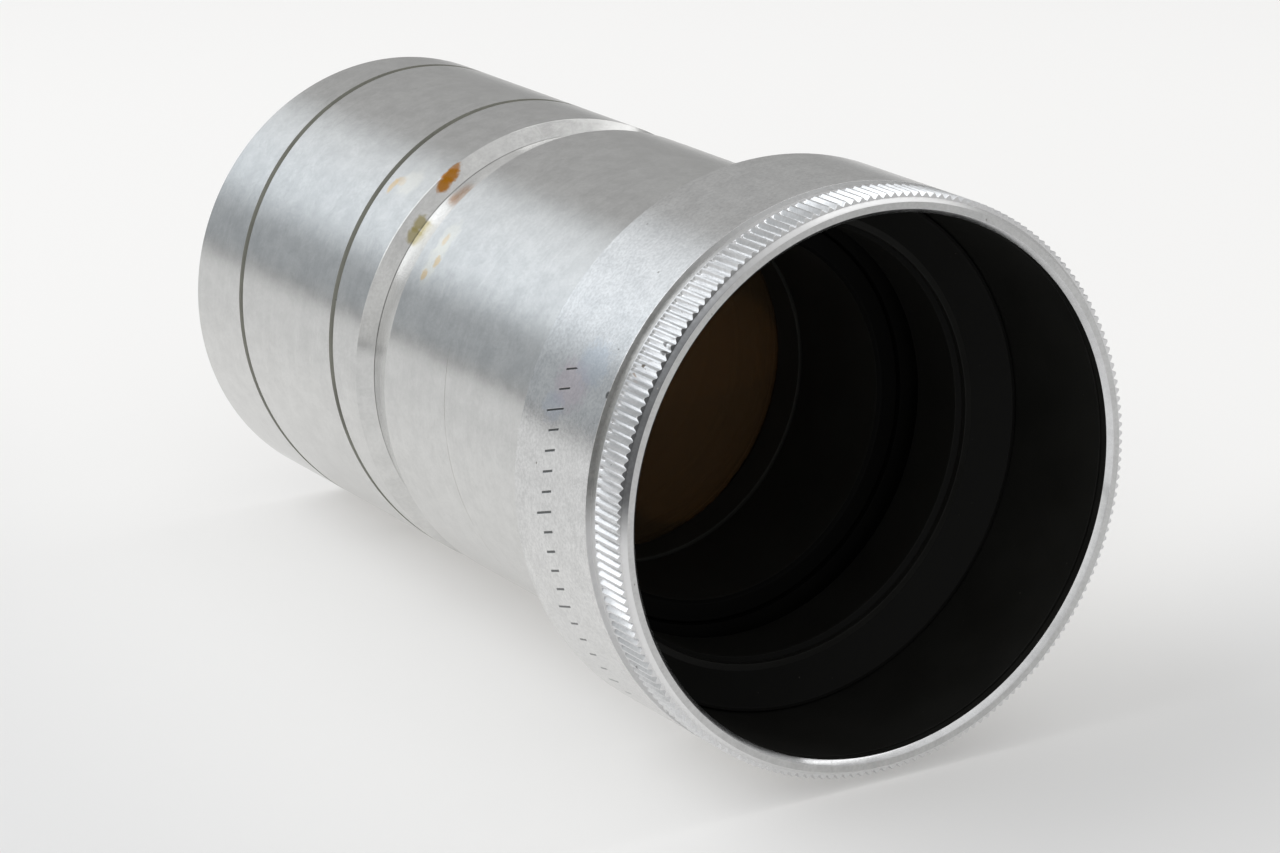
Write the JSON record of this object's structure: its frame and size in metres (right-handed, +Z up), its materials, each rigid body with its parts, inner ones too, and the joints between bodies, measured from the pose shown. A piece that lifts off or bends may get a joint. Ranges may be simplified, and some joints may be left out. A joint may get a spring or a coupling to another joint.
{
  "type": "projection lens with built-in hood",
  "caption": "Turned aluminium projection lens barrel with a deep flared hood, knurled rim, black stepped bore and a helical focusing groove on its rear sleeve.",
  "frame": {"origin": "on the optical axis, halfway between the hood's rim face and the sleeve's end face", "axes": "optical axis along Y, hood rim towards -Y, sleeve's open end towards +Y, +Z up with the lens lying on its side"},
  "size_m": [0.0498, 0.0866, 0.0498],
  "materials": {
    "satin_aluminium": "fine turned, satin",
    "bright_aluminium": "bright turned, knurled",
    "matt_black": "matt black lacquer",
    "brass": "turned",
    "coated_glass": "amber reflecting coating"
  },
  "bodies": {
    "barrel": {"barrel_tube": "satin_aluminium", "rear_sleeve": "satin_aluminium", "light_trap_tube": "matt_black", "rear_baffle_ring": "matt_black", "front_cell": "matt_black", "front_retaining_ring": "matt_black", "front_element": "coated_glass", "spacing_shim": "brass", "main_cell": "matt_black", "middle_retaining_ring": "matt_black", "middle_element": "coated_glass", "aperture_stop": "matt_black", "rear_cell": "matt_black", "doublet_flint": "coated_glass", "doublet_crown": "coated_glass", "rear_retaining_ring": "matt_black", "cell_lock_ring": "brass"},
    "hood_thread": {"hood_funnel": "matt_black"},
    "hood": {"hood_shell": "satin_aluminium", "knurled_front_ring": "bright_aluminium"}
  },
  "joints": [
    {"name": "hood_travel", "type": "slide", "parent": "barrel", "child": "hood_thread", "axis": [0, -1, 0], "range_m": [0, 0.006]},
    {"name": "hood_turn", "type": "hinge", "parent": "hood_thread", "child": "hood", "pos_m": [0, -0.025, 0], "axis": [0, -1, 0], "range_deg": [0, 2885]}
  ],
  "couplings": [
    {"joint": "hood_turn", "follows": "hood_travel", "rad_per_m": 8377.6}
  ]
}
